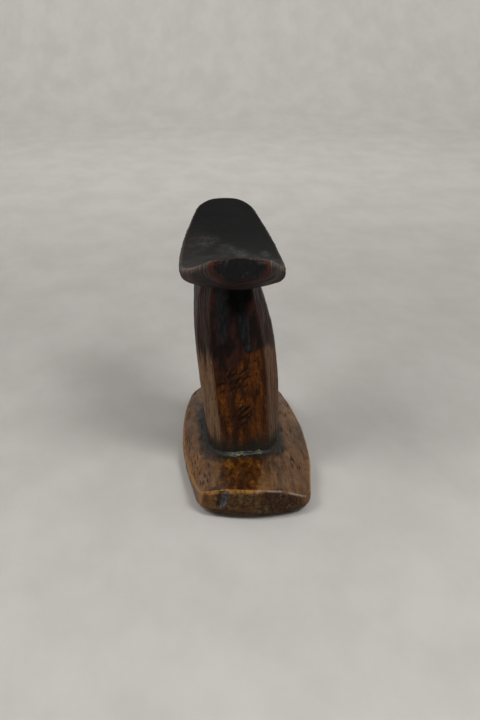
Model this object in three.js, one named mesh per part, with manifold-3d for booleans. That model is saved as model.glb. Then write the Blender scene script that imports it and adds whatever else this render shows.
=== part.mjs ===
// A carved wooden headrest: a saddle pillow on one bent, faceted post, which stands on a domed base.
// Millimetres, +Z up, +X along the pillow and the base. The origin is the middle of the base's underside.
import * as THREE from "three";
import { mergeVertices } from "three/addons/utils/BufferGeometryUtils.js";
import Module from "manifold-3d";

const wasm = await Module();
wasm.setup();

// ---------- driving dimensions ----------

// The base, a slab with bowed sides and ends, domed from side to side.
const base = {
  length: 213,
  width: 93,
  endWidth: 74, // across the corners
  endBow: 10, // how far the ends swell past the corners
  cornerRound: 7,
  edgeHeight: 8.5, // of the top edge along the sides
  crown: 10, // from that edge up to the ridge, at the ends
  swell: 3, // extra height of the ridge under the post
  crownSharpness: 2.6, // 2 is a parabola across, more is flatter on top and steeper at the sides
  upperRound: 1,
  lowerRound: 1.6,
};

// The pillow, low in the middle and high at its ends, narrow at its ends and broad in the middle.
const pillow = {
  length: 200,
  width: 75,
  endWidth: 37,
  endBow: 3,
  cornerRound: 7,
  lean: -9, // the pillow sits this far to the side of the base's centre line
  seatHeight: 149.5, // of the seat's ridge at the middle
  rise: 23.5, // from there to the ends
  riseSharpness: 1.55, // 1 is a V along the length, 2 a parabola
  crown: 4, // from the side edges up to the ridge
  rimThickness: 10.5,
  keel: 9, // extra thickness along the centre line, at the middle
  endKeel: 4.5, // and at the ends
  upperRound: 1.4,
  lowerRound: 3,
};

// The post. Widths are across the headrest, lengths are along it.
const post = {
  footWidth: 50,
  bellyWidth: 57,
  neckWidth: 46,
  bellyHeight: 84,
  footLength: 106,
  waistLength: 90,
  waistHeight: 78,
  neckLength: 106,
  footLean: -3,
  neckLean: -12,
  leanSharpness: 1.6, // 1 is a straight lean, more is a bend
  endFlare: 1.6, // how far the bend of the flanks goes on past the foot and the neck, 1 is not at all
};

// The corners of a quarter of the post's faceted section, as shares of its half width and half length.
const postCorners = [
  [1, 0.28],
  [0.97, 0.6],
  [0.66, 0.94],
  [0.3, 1],
];

// The stub tenons on the post's two ends, one size each way for the base and for the pillow.
const tenon = {
  length: 62,
  width: 24,
  intoBase: 12, // from the crown of the dome down
  intoPillow: 11, // from the underside's lowest line up
  clearance: 0.3,
};

// The packing in the angle between the post's foot and the base.
const packing = {
  width: 3.2, // at its foot
  lipWidth: 1.1, // at its top
  height: 2.6,
};

const seatGap = 0.3; // between faces that bear on each other
const spokes = 64; // round each slab
const levels = 18; // up the post

// ---------- geometry helpers ----------

const lerp = THREE.MathUtils.lerp;
const square = (value) => value * value;

// Moves every vertex of a round geometry to place(spoke, radius, height), by where it is round the Y axis.
function reshape(geometry, count, place) {
  const position = geometry.getAttribute("position");
  const from = new THREE.Vector3();
  for (let i = 0; i < position.count; i++) {
    from.fromBufferAttribute(position, i);
    const turn = Math.atan2(from.x, from.z) / (2 * Math.PI);
    const spoke = (Math.round(turn * count) + count) % count;
    const to = place(spoke, Math.hypot(from.x, from.z), from.y);
    position.setXYZ(i, to.x, to.y, to.z);
  }
  return geometry;
}

// A closed three.js geometry as a manifold-3d solid.
function solidOf(geometry) {
  const bare = geometry.clone();
  bare.deleteAttribute("normal");
  bare.deleteAttribute("uv");
  const merged = mergeVertices(bare, 1e-4);
  return new wasm.Manifold(
    new wasm.Mesh({
      numProp: 3,
      vertProperties: new Float32Array(merged.getAttribute("position").array),
      triVerts: new Uint32Array(merged.index.array),
    }),
  );
}

function geometryOf(solid) {
  const mesh = solid.getMesh();
  const geometry = new THREE.BufferGeometry();
  geometry.setAttribute("position", new THREE.BufferAttribute(new Float32Array(mesh.vertProperties), 3));
  geometry.setIndex(new THREE.BufferAttribute(new Uint32Array(mesh.triVerts), 1));
  geometry.computeVertexNormals();
  return geometry;
}

// A box given by its size and its middle, as a solid.
function blockSolid(sizeX, sizeY, sizeZ, x, y, z) {
  return solidOf(new THREE.BoxGeometry(sizeX, sizeY, sizeZ).translate(x, y, z));
}

// The plan of a slab with bowed sides and ends and rounded corners, as points counter-clockwise from above.
// grow widens it all round.
function bowedOutline(slab, grow = 0) {
  const halfLength = slab.length / 2 + grow;
  const halfWidth = slab.width / 2 + grow;
  const cornerX = halfLength - slab.endBow;
  const cornerY = slab.endWidth / 2 + grow;
  const round = Math.min(slab.cornerRound, cornerY * 0.8);
  const sideSlope = (4 * (halfWidth - cornerY)) / (2 * cornerX); // of the side where it meets the corner
  const endSlope = (4 * slab.endBow) / (2 * cornerY);
  const onSide = new THREE.Vector2(cornerX - round, cornerY + sideSlope * round);
  const onEnd = new THREE.Vector2(cornerX + endSlope * round, cornerY - round);
  const sideControl = 2 * halfWidth - onSide.y;
  const endControl = 2 * halfLength - onEnd.x;
  const shape = new THREE.Shape();
  shape.moveTo(onEnd.x, -onEnd.y);
  shape.quadraticCurveTo(endControl, 0, onEnd.x, onEnd.y);
  shape.quadraticCurveTo(cornerX, cornerY, onSide.x, onSide.y);
  shape.quadraticCurveTo(0, sideControl, -onSide.x, onSide.y);
  shape.quadraticCurveTo(-cornerX, cornerY, -onEnd.x, onEnd.y);
  shape.quadraticCurveTo(-endControl, 0, -onEnd.x, -onEnd.y);
  shape.quadraticCurveTo(-cornerX, -cornerY, -onSide.x, -onSide.y);
  shape.quadraticCurveTo(0, -sideControl, onSide.x, -onSide.y);
  shape.quadraticCurveTo(cornerX, -cornerY, onEnd.x, -onEnd.y);
  return shape.getSpacedPoints(spokes).slice(0, spokes);
}

// The rings of a slab, from the middle of its underside round the rim to the middle of its top. share is
// the distance from the centre to the outline, inset is taken off that in mm, and lift is how far the
// ring is above the underside (positive) or below the top (negative).
function slabRings(upperRound, lowerRound) {
  const slant = 1 - Math.SQRT1_2; // of a rounded edge at 45 degrees
  return [
    { share: 0, inset: 0, lift: 0, under: true },
    { share: 0.25, inset: 0, lift: 0, under: true },
    { share: 0.5, inset: 0, lift: 0, under: true },
    { share: 0.75, inset: 0, lift: 0, under: true },
    { share: 1, inset: lowerRound, lift: 0, under: true },
    { share: 1, inset: lowerRound * slant, lift: lowerRound * slant, under: true },
    { share: 1, inset: 0, lift: lowerRound, under: true },
    { share: 1, inset: 0, lift: -upperRound, under: false },
    { share: 1, inset: upperRound * slant, lift: -upperRound * slant, under: false },
    { share: 1, inset: upperRound, lift: 0, under: false },
    { share: 0.86, inset: 0, lift: 0, under: false },
    { share: 0.7, inset: 0, lift: 0, under: false },
    { share: 0.5, inset: 0, lift: 0, under: false },
    { share: 0.25, inset: 0, lift: 0, under: false },
    { share: 0, inset: 0, lift: 0, under: false },
  ];
}

// A slab between two curved faces, each a function of x and y, with its rim on the outline.
function slabSolid(outline, topAt, undersideAt, upperRound, lowerRound) {
  const rings = slabRings(upperRound, lowerRound);
  const profile = rings.map((ring, i) => new THREE.Vector2(ring.share > 0 ? 1 : 0, i));
  const geometry = new THREE.LatheGeometry(profile, spokes);
  reshape(geometry, spokes, (spoke, radius, height) => {
    const ring = rings[Math.round(height)];
    const reach = outline[spoke].length();
    const share = Math.max(0, (reach * ring.share - ring.inset) / reach);
    const x = outline[spoke].x * share;
    const y = outline[spoke].y * share;
    const z = (ring.under ? undersideAt(x, y) : topAt(x, y)) + ring.lift;
    return new THREE.Vector3(x, y, z);
  });
  return solidOf(geometry);
}

// ---------- base ----------

function baseTopAt(x, y) {
  const along = Math.max(0, 1 - square(x / (base.length / 2)));
  const halfWidth = lerp(base.endWidth, base.width, along) / 2;
  const across = Math.max(0, 1 - Math.pow(Math.abs(y) / halfWidth, base.crownSharpness));
  return base.edgeHeight + (base.crown + base.swell * along) * across;
}

// The base's solid, without its mortise. raise lifts its top.
function baseSlab(raise = 0) {
  const topAt = (x, y) => baseTopAt(x, y) + raise;
  return slabSolid(bowedOutline(base), topAt, () => 0, base.upperRound, base.lowerRound);
}

// ---------- pillow ----------

// x and y are measured from the pillow's own centre.
function pillowTopAt(x, y) {
  const along = Math.pow(Math.abs(x) / (pillow.length / 2), pillow.riseSharpness);
  return pillow.seatHeight + pillow.rise * along - pillow.crown * square(y / (pillow.width / 2));
}

function pillowHalfWidthAt(x) {
  const along = Math.max(0, 1 - square(x / (pillow.length / 2)));
  return lerp(pillow.endWidth, pillow.width, along) / 2;
}

function pillowUndersideAt(x, y) {
  const along = Math.max(0, 1 - square(x / (pillow.length / 2)));
  const across = Math.max(0, 1 - square(y / pillowHalfWidthAt(x)));
  const keel = lerp(pillow.endKeel, pillow.keel, along);
  return pillowTopAt(x, y) - pillow.rimThickness - keel * across;
}

function pillowSlab() {
  const outline = bowedOutline(pillow);
  const solid = slabSolid(outline, pillowTopAt, pillowUndersideAt, pillow.upperRound, pillow.lowerRound);
  return solid.translate([0, pillow.lean, 0]);
}

// All the room over the pillow's underside, down to seatGap below it.
function roomOverUnderside() {
  const outline = bowedOutline(pillow);
  const ceiling = pillow.seatHeight + pillow.rise * 2;
  const floorAt = (x, y) => pillowUndersideAt(x, y) - seatGap;
  const room = slabSolid(outline, () => ceiling, floorAt, pillow.upperRound, pillow.lowerRound);
  return room.translate([0, pillow.lean, 0]);
}

// ---------- post ----------

const postTop = pillow.seatHeight + pillow.rise / 2; // inside the pillow at any place, cut away later
const neckHeight = pillowUndersideAt(0, 0);
const footHeight = baseTopAt(0, 0);

// A size that goes in a smooth bend from its value at the foot, through its value at turnHeight, to its
// value at the neck.
function bendAt(height, atFoot, atTurn, atNeck, turnHeight) {
  const below = height < turnHeight;
  const reach = below ? turnHeight - footHeight : neckHeight - turnHeight;
  const share = Math.min(square((height - turnHeight) / reach), post.endFlare);
  return lerp(atTurn, below ? atFoot : atNeck, share);
}

function postWidthAt(z) {
  return bendAt(z, post.footWidth, post.bellyWidth, post.neckWidth, post.bellyHeight);
}

function postLengthAt(z) {
  return bendAt(z, post.footLength, post.waistLength, post.neckLength, post.waistHeight);
}

function postLeanAt(z) {
  const up = THREE.MathUtils.clamp((z - footHeight) / (neckHeight - footHeight), 0, 1);
  return lerp(post.footLean, post.neckLean, Math.pow(up, post.leanSharpness));
}

// All the corners of the section, counter-clockwise from above, as shares of half length and half width.
function sectionCorners() {
  const quarter = postCorners.map(([across, along]) => new THREE.Vector2(along, across)).reverse();
  const turned = [...quarter].reverse();
  return [
    ...quarter,
    ...turned.map((p) => new THREE.Vector2(-p.x, p.y)),
    ...quarter.map((p) => new THREE.Vector2(-p.x, -p.y)),
    ...turned.map((p) => new THREE.Vector2(p.x, -p.y)),
  ];
}

// The post's flanks from height low to high, grown sideways by growAt(z), before its ends are fitted.
function postFlanks(low, high, growAt) {
  const corners = sectionCorners();
  const geometry = new THREE.CylinderGeometry(1, 1, 1, corners.length, levels);
  reshape(geometry, corners.length, (spoke, radius, height) => {
    const z = lerp(low, high, height + 0.5);
    const onAxis = radius < 0.5 ? 0 : 1;
    const halfLength = postLengthAt(z) / 2 + growAt(z);
    const halfWidth = postWidthAt(z) / 2 + growAt(z);
    const x = corners[spoke].x * halfLength * onAxis;
    const y = corners[spoke].y * halfWidth * onAxis + postLeanAt(z);
    return new THREE.Vector3(x, y, z);
  });
  return solidOf(geometry);
}

// ---------- the two stub tenons, or the mortises for them when grown by the clearance ----------

const tenonFoot = footHeight - tenon.intoBase;
const tenonTop = neckHeight + tenon.intoPillow;

function lowerTenon(grow) {
  const height = tenon.intoBase + 2 * base.crown;
  return blockSolid(
    tenon.length + 2 * grow,
    tenon.width + 2 * grow,
    height,
    0,
    postLeanAt(footHeight),
    tenonFoot - grow + height / 2,
  );
}

function upperTenon(grow) {
  const height = tenon.intoPillow + 2 * pillow.keel;
  return blockSolid(
    tenon.length + 2 * grow,
    tenon.width + 2 * grow,
    height,
    0,
    postLeanAt(neckHeight),
    tenonTop + grow - height / 2,
  );
}

// ---------- the four pieces ----------

function makeBase() {
  return baseSlab().subtract(lowerTenon(tenon.clearance));
}

function makePillow() {
  return pillowSlab().subtract(upperTenon(tenon.clearance));
}

function makePost() {
  const flanks = postFlanks(base.edgeHeight, postTop, () => 0);
  const fitted = flanks.subtract(baseSlab(seatGap)).subtract(roomOverUnderside());
  return fitted.add(lowerTenon(0)).add(upperTenon(0));
}

// A low bead round the foot: a skirt wider than the post, cut to a band that follows the dome.
function makePacking() {
  const bandTop = footHeight + packing.height;
  const skirt = postFlanks(base.edgeHeight, bandTop, (z) => {
    const down = (bandTop - z) / (bandTop - base.edgeHeight);
    return lerp(packing.lipWidth, packing.width, down);
  });
  const room = postFlanks(base.edgeHeight / 2, bandTop + packing.height, () => seatGap);
  return skirt.intersect(baseSlab(packing.height)).subtract(baseSlab(seatGap)).subtract(room);
}

// ---------- materials and the assembly ----------

const wood = (color, roughness) => new THREE.MeshStandardMaterial({ color, roughness, metalness: 0 });

const pieces = [
  ["base", makeBase(), wood(0x5a3a20, 0.45)],
  ["post", makePost(), wood(0x4a2a16, 0.42)],
  ["pillow", makePillow(), wood(0x201c1a, 0.5)],
  ["foot_packing", makePacking(), wood(0x6b6248, 0.9)],
];

const headrest = new THREE.Group();
headrest.name = "headrest";
for (const [name, solid, material] of pieces) {
  const mesh = new THREE.Mesh(geometryOf(solid), material);
  mesh.name = name;
  headrest.add(mesh);
}

export default headrest;
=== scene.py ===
"""Looks of the carved headrest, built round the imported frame.

A saddle pillow stands on a bent post, and the post on a domed base.
"""

import itertools
import logging
import math
from dataclasses import dataclass, field
from enum import Enum
from typing import Optional, Sequence, Union

import bmesh
import bpy
import numpy as np
from mathutils import Matrix, Vector


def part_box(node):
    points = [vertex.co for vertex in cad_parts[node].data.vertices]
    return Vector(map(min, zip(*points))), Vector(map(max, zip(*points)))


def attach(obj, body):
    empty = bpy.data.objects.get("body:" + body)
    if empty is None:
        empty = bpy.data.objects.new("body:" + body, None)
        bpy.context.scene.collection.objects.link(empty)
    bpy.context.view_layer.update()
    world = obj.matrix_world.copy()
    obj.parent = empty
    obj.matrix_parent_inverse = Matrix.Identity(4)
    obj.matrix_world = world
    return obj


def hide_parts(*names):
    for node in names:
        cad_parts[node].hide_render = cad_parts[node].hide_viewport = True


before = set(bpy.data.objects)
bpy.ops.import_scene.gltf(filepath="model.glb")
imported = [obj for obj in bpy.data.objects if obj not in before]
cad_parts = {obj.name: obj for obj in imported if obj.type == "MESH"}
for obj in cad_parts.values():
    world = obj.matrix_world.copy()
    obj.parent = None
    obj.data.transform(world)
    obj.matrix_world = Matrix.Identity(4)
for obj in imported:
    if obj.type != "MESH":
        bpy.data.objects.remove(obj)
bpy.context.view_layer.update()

MM = 0.001
ROOT = "root"
log = logging.getLogger("headrest")

NEARLY_ZERO = 1e-6
MERGE_DISTANCE = 1e-5
COAT_ROUGHNESS = 0.16
GRID_BUNCHING = 0.35
HATCH_WIDTH = 1.3 * MM
AROUND_SPAN = 0.4
DEFAULT_SHEEN = 0.5

Array = np.ndarray
Row = tuple[float, ...]
Colour = tuple[float, float, float]
Number = Union["Wire", float]
Shade = Union["Wire", Colour]


# ---------------------------------------------------------------- numbers over many points


def ease(low: float, high: float, value: Array) -> Array:
    """Goes smoothly from 0 at low to 1 at high.

    Args:
        low: where the result leaves 0.
        high: where it reaches 1. It may be less than low, and the result then falls.
        value: the numbers to turn.

    Returns:
        A number from 0 to 1 for each value.
    """
    share = np.clip((value - low) / (high - low), 0.0, 1.0)
    return share * share * (3.0 - 2.0 * share)


def lerp(low: Union[float, Array], high: Union[float, Array], share: Array) -> Array:
    """The value that lies share of the way from low to high."""
    return low + (high - low) * share


def cell_values(cells: Array, seed: int) -> Array:
    """A fixed random number from 0 to 1 for each cell of a lattice.

    Args:
        cells: whole numbers, one row of three for each cell.
        seed: picks one of many such lattices.

    Returns:
        One number for each row.
    """
    mixed = cells.astype(np.int64) @ np.array([73856093, 19349663, 83492791]) + seed * 7919
    mixed = (mixed ^ (mixed >> 13)) * 1274126177
    mixed ^= mixed >> 16
    return (mixed & 0xFFFF) / 65535.0


def drift(points: Array, size: Union[float, Sequence[float]], seed: int) -> Array:
    """Smooth noise from -1 to 1.

    Args:
        points: where to read it, one row of three for each point.
        size: how far across its lumps are in millimetres, one number or one for each axis.
        seed: picks the pattern.

    Returns:
        One number for each point.
    """
    places = points / (np.asarray(size, float) * MM)
    corner = np.floor(places)
    share = places - corner
    share = share * share * (3.0 - 2.0 * share)
    total = np.zeros(len(points))
    for step in itertools.product((0, 1), repeat=3):
        weight = np.prod(np.where(np.array(step) == 1, share, 1.0 - share), axis=1)
        total += weight * cell_values(corner + np.array(step), seed)
    return 2.0 * total - 1.0


# ---------------------------------------------------------------- dense meshes that are carved


class Carving:
    """A closed mesh whose points are moved as arrays, and which carries marks for its finish."""

    def __init__(self, name: str, shell: bmesh.types.BMesh) -> None:
        """Takes over a bmesh.

        Args:
            name: the piece's name.
            shell: the closed mesh, which is freed here.
        """
        self.mesh = bpy.data.meshes.new(name)
        shell.to_mesh(self.mesh)
        shell.free()
        self.points = np.zeros((len(self.mesh.vertices), 3))
        self._read("co", self.points)

    def _read(self, key: str, into: Array) -> None:
        """Copies a three-number property of every vertex into an array.

        Args:
            key: the property's name.
            into: an array with one row of three for each vertex.
        """
        flat = np.zeros(into.size, np.float32)
        self.mesh.vertices.foreach_get(key, flat)
        into[:] = flat.reshape(-1, 3)

    def place(self, points: Array) -> None:
        """Moves every vertex to its new point.

        Args:
            points: one row of three for each vertex.
        """
        self.points = points
        self.mesh.vertices.foreach_set("co", points.astype(np.float32).ravel())
        self.mesh.update()

    def normals(self) -> Array:
        """The direction that each vertex faces.

        Returns:
            One row of three for each vertex, of length 1.
        """
        facing = np.zeros_like(self.points)
        self._read("normal", facing)
        return facing

    def push(self, distance: Array) -> None:
        """Moves every vertex along its own normal, inwards where distance is negative."""
        self.place(self.points + self.normals() * distance[:, None])

    def mark(self, **marks: Array) -> None:
        """Stores marks on every vertex, which the finish reads by name.

        Args:
            marks: for each name, a number from 0 to 1 for every vertex.
        """
        for name, values in marks.items():
            attribute = self.mesh.attributes.new(name, "FLOAT", "POINT")
            attribute.data.foreach_set("value", np.clip(values, 0.0, 1.0).astype(np.float32))

    def finish(self, material: bpy.types.Material, slot: str, *nodes: str) -> bpy.types.Object:
        """Makes the object, dresses it and ties it to the frame.

        Args:
            material: its finish.
            slot: the record's material slot; not used.
            nodes: the CAD nodes it stands for.

        Returns:
            The finished piece.
        """
        self.mesh.polygons.foreach_set("use_smooth", [True] * len(self.mesh.polygons))
        self.mesh.materials.append(material)
        piece = bpy.data.objects.new(self.mesh.name, self.mesh)
        bpy.context.scene.collection.objects.link(piece)
        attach(piece, ROOT)
        if nodes:
            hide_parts(*nodes)
        log.info("%s: %d faces for %s", piece.name, len(self.mesh.polygons), nodes or "no CAD node")
        return piece


def runs_along(edge: bmesh.types.BMEdge, axis: int) -> bool:
    """Whether an edge's two ends differ along an axis."""
    return abs(edge.verts[0].co[axis] - edge.verts[1].co[axis]) > NEARLY_ZERO


def gridded_block(cuts: Sequence[int]) -> bmesh.types.BMesh:
    """A cube from -1 to 1 whose faces are cut into a fine grid.

    Args:
        cuts: how many cuts go across each of its three axes.

    Returns:
        The bmesh.
    """
    shell = bmesh.new()
    bmesh.ops.create_cube(shell, size=2.0)
    for axis, count in enumerate(cuts):
        along = [e for e in shell.edges if runs_along(e, axis)]
        bmesh.ops.subdivide_edges(shell, edges=along, cuts=count, use_grid_fill=True)
    return shell


def gridded_barrel(around: int, up: int) -> bmesh.types.BMesh:
    """A closed cylinder of radius 1 from -1 to 1, cut into a fine grid round its side.

    Args:
        around: how many points each ring has.
        up: how many cuts there are between the ends.

    Returns:
        The bmesh.
    """
    shell = bmesh.new()
    bmesh.ops.create_cone(
        shell, cap_ends=True, cap_tris=True, segments=around, radius1=1.0, radius2=1.0, depth=2.0
    )
    upright = [e for e in shell.edges if runs_along(e, 2)]
    bmesh.ops.subdivide_edges(shell, edges=upright, cuts=up, use_grid_fill=True)
    return shell


def spin_round(shell: bmesh.types.BMesh, steps: int) -> None:
    """Spins a bmesh's outline once round Z, and joins the skin where it meets itself.

    Args:
        shell: a bmesh that holds only the outline.
        steps: how many steps the turn has.
    """
    bmesh.ops.spin(
        shell,
        geom=shell.verts[:] + shell.edges[:],
        cent=(0, 0, 0),
        axis=(0, 0, 1),
        angle=2 * math.pi,
        steps=steps,
        use_merge=True,
    )
    bmesh.ops.remove_doubles(shell, verts=shell.verts, dist=MERGE_DISTANCE)
    bmesh.ops.recalc_face_normals(shell, faces=shell.faces)


def turn_number(points: Array, around: int) -> Array:
    """Which step of a full turn round Z each point stands at.

    Args:
        points: one row of three for each point.
        around: how many steps a full turn has.

    Returns:
        A whole number for each point, negative past half a turn.
    """
    return np.round(np.arctan2(points[:, 1], points[:, 0]) / (2 * math.pi) * around)


# ---------------------------------------------------------------- shader maths as expressions


class Op(Enum):
    """What a Math node does with its numbers."""

    ADD = "ADD"
    SUBTRACT = "SUBTRACT"
    MULTIPLY = "MULTIPLY"
    MAXIMUM = "MAXIMUM"


class Wire:
    """A shader socket that can stand in sums, differences and products."""

    def __init__(self, graph: "Graph", socket: bpy.types.NodeSocket) -> None:
        """Wraps an output socket of one of the graph's nodes."""
        self.graph = graph
        self.socket = socket

    def __add__(self, other: Number) -> "Wire":
        """self + other."""
        return self.graph.math(Op.ADD, self, other)

    __radd__ = __add__

    def __sub__(self, other: Number) -> "Wire":
        """self - other."""
        return self.graph.math(Op.SUBTRACT, self, other)

    def __rsub__(self, other: Number) -> "Wire":
        """other - self."""
        return self.graph.math(Op.SUBTRACT, other, self)

    def __mul__(self, other: Number) -> "Wire":
        """self * other."""
        return self.graph.math(Op.MULTIPLY, self, other)

    __rmul__ = __mul__


class Graph:
    """A material's node tree, built from expressions."""

    def __init__(self, name: str) -> None:
        """Starts an empty material.

        Args:
            name: the material's name.
        """
        self.material = bpy.data.materials.new(name)
        self.material.use_nodes = True
        self.tree = self.material.node_tree
        self.tree.nodes.clear()
        self._coordinates: Optional[Wire] = None

    def node(
        self,
        kind: str,
        settings: Optional[dict[str, object]] = None,
        inputs: Optional[dict[Union[str, int], object]] = None,
        outlet: Union[str, int] = 0,
    ) -> Optional[Wire]:
        """Adds any node: its settings first, then the values or links of its sockets.

        Args:
            kind: the node's type.
            settings: its properties, such as a Math node's operation.
            inputs: a number, colour or Wire for each input that is set, by name or place.
            outlet: the output to return.

        Returns:
            That output, or None if the node has none.
        """
        made = self.tree.nodes.new(kind)
        for key, value in (settings or {}).items():
            setattr(made, key, value)
        for key, value in (inputs or {}).items():
            socket = made.inputs[key]
            if isinstance(value, Wire):
                self.tree.links.new(value.socket, socket)
            elif isinstance(value, tuple) and socket.type == "RGBA":
                socket.default_value = (*value[:3], 1.0)
            else:
                socket.default_value = value
        return Wire(self, made.outputs[outlet]) if made.outputs else None

    def math(self, operation: Op, *values: Number) -> Wire:
        """Adds a Math node on two numbers."""
        return self.node("ShaderNodeMath", {"operation": operation.value}, dict(enumerate(values)))

    def mix(self, share: Number, low: Shade, high: Shade) -> Wire:
        """Mixes two colours.

        Args:
            share: 0 gives low, and 1 gives high.
            low: the lower colour.
            high: the upper colour.

        Returns:
            The colour.
        """
        return self.node(
            "ShaderNodeMix",
            {"data_type": "RGBA", "blend_type": "MIX", "clamp_factor": True},
            {0: share, 6: low, 7: high},
            2,
        )

    def step(self, value: Wire, low: float, high: float) -> Wire:
        """Goes smoothly from 0 at low to 1 at high.

        Args:
            value: the number to turn.
            low: where the result leaves 0.
            high: where it reaches 1, less than low for a falling step.

        Returns:
            A number from 0 to 1.
        """
        ends = {"From Min": min(low, high), "From Max": max(low, high)}
        rising = self.node(
            "ShaderNodeMapRange", {"interpolation_type": "SMOOTHSTEP"}, {"Value": value, **ends}
        )
        return rising if low < high else 1.0 - rising

    def mark(self, name: str) -> Wire:
        """A number that the carving stored on its vertices."""
        return self.node("ShaderNodeAttribute", {"attribute_name": name}, outlet="Fac")

    def place(self, size: Sequence[float], turn: Sequence[float], at: float = 0.0) -> Wire:
        """Object coordinates, turned and then divided by a size along each axis.

        Args:
            size: the length in metres that counts as 1 along each axis.
            turn: a turn about each axis, in degrees, made before the sizes.
            at: an offset along all axes that picks another part of a pattern.

        Returns:
            The coordinates.
        """
        if self._coordinates is None:
            self._coordinates = self.node("ShaderNodeTexCoord", outlet="Object")
        turned: Wire = self._coordinates
        if any(turn):
            angles = tuple(math.radians(a) for a in turn)
            turned = self.node("ShaderNodeMapping", inputs={"Vector": turned, "Rotation": angles})
        scale = tuple(1.0 / s for s in size)
        return self.node(
            "ShaderNodeMapping", inputs={"Vector": turned, "Scale": scale, "Location": (at, at, at)}
        )

    def noise(
        self,
        size: Sequence[float],
        detail: float = 3.0,
        roughness: float = 0.55,
        distortion: float = 0.0,
        turn: Sequence[float] = (0.0, 0.0, 0.0),
        at: float = 0.0,
    ) -> Wire:
        """Cloudy noise from 0 to 1, about 0.5 on average.

        Args:
            size: how far across its lumps are along each axis, in metres.
            detail: how many finer layers it has.
            roughness: how strong the finer layers are.
            distortion: how far the lumps are swirled.
            turn: a turn of the pattern about each axis, in degrees.
            at: an offset that picks another part of it.

        Returns:
            The noise.
        """
        return self.node(
            "ShaderNodeTexNoise",
            {"noise_dimensions": "3D"},
            {
                "Vector": self.place(size, turn, at),
                "Scale": 1.0,
                "Detail": detail,
                "Roughness": roughness,
                "Distortion": distortion,
            },
        )

    def rings(self, axis: str, size: float, distortion: float, turn: Sequence[float]) -> Wire:
        """Growth rings, as wavy bands from 0 to 1.

        Args:
            axis: X, Y or Z, across which the bands follow each other.
            size: the width of a band in metres.
            distortion: how wavy they are.
            turn: a turn about each axis, in degrees.

        Returns:
            The bands.
        """
        return self.node(
            "ShaderNodeTexWave",
            {"wave_type": "BANDS", "bands_direction": axis, "wave_profile": "SIN"},
            {
                "Vector": self.place((size, size, size), turn),
                "Scale": 1.0,
                "Distortion": distortion,
                "Detail": 3.0,
                "Detail Scale": 0.6,
                "Detail Roughness": 0.6,
            },
            "Fac",
        )

    def close(
        self,
        base: Shade,
        roughness: Number,
        height: Wire,
        relief: float,
        coat: Number = 0.0,
        sheen: float = DEFAULT_SHEEN,
    ) -> bpy.types.Material:
        """Ends the material in a glossy surface.

        Args:
            base: its colour.
            roughness: its roughness.
            height: the bump's height, about 0 to 1.
            relief: how far in metres a height of 1 stands up.
            coat: how much wax lies on it, from 0 to 1.
            sheen: how strongly the surface itself mirrors.

        Returns:
            The material.
        """
        bump = self.node(
            "ShaderNodeBump",
            inputs={"Strength": 1.0, "Distance": relief, "Height": height},
            outlet="Normal",
        )
        surface = self.node(
            "ShaderNodeBsdfPrincipled",
            inputs={
                "Base Color": base,
                "Roughness": roughness,
                "Normal": bump,
                "Coat Weight": coat,
                "Coat Roughness": COAT_ROUGHNESS,
                "Specular IOR Level": sheen,
            },
        )
        self.node("ShaderNodeOutputMaterial", inputs={"Surface": surface})
        return self.material


# ---------------------------------------------------------------- finishes


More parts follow.
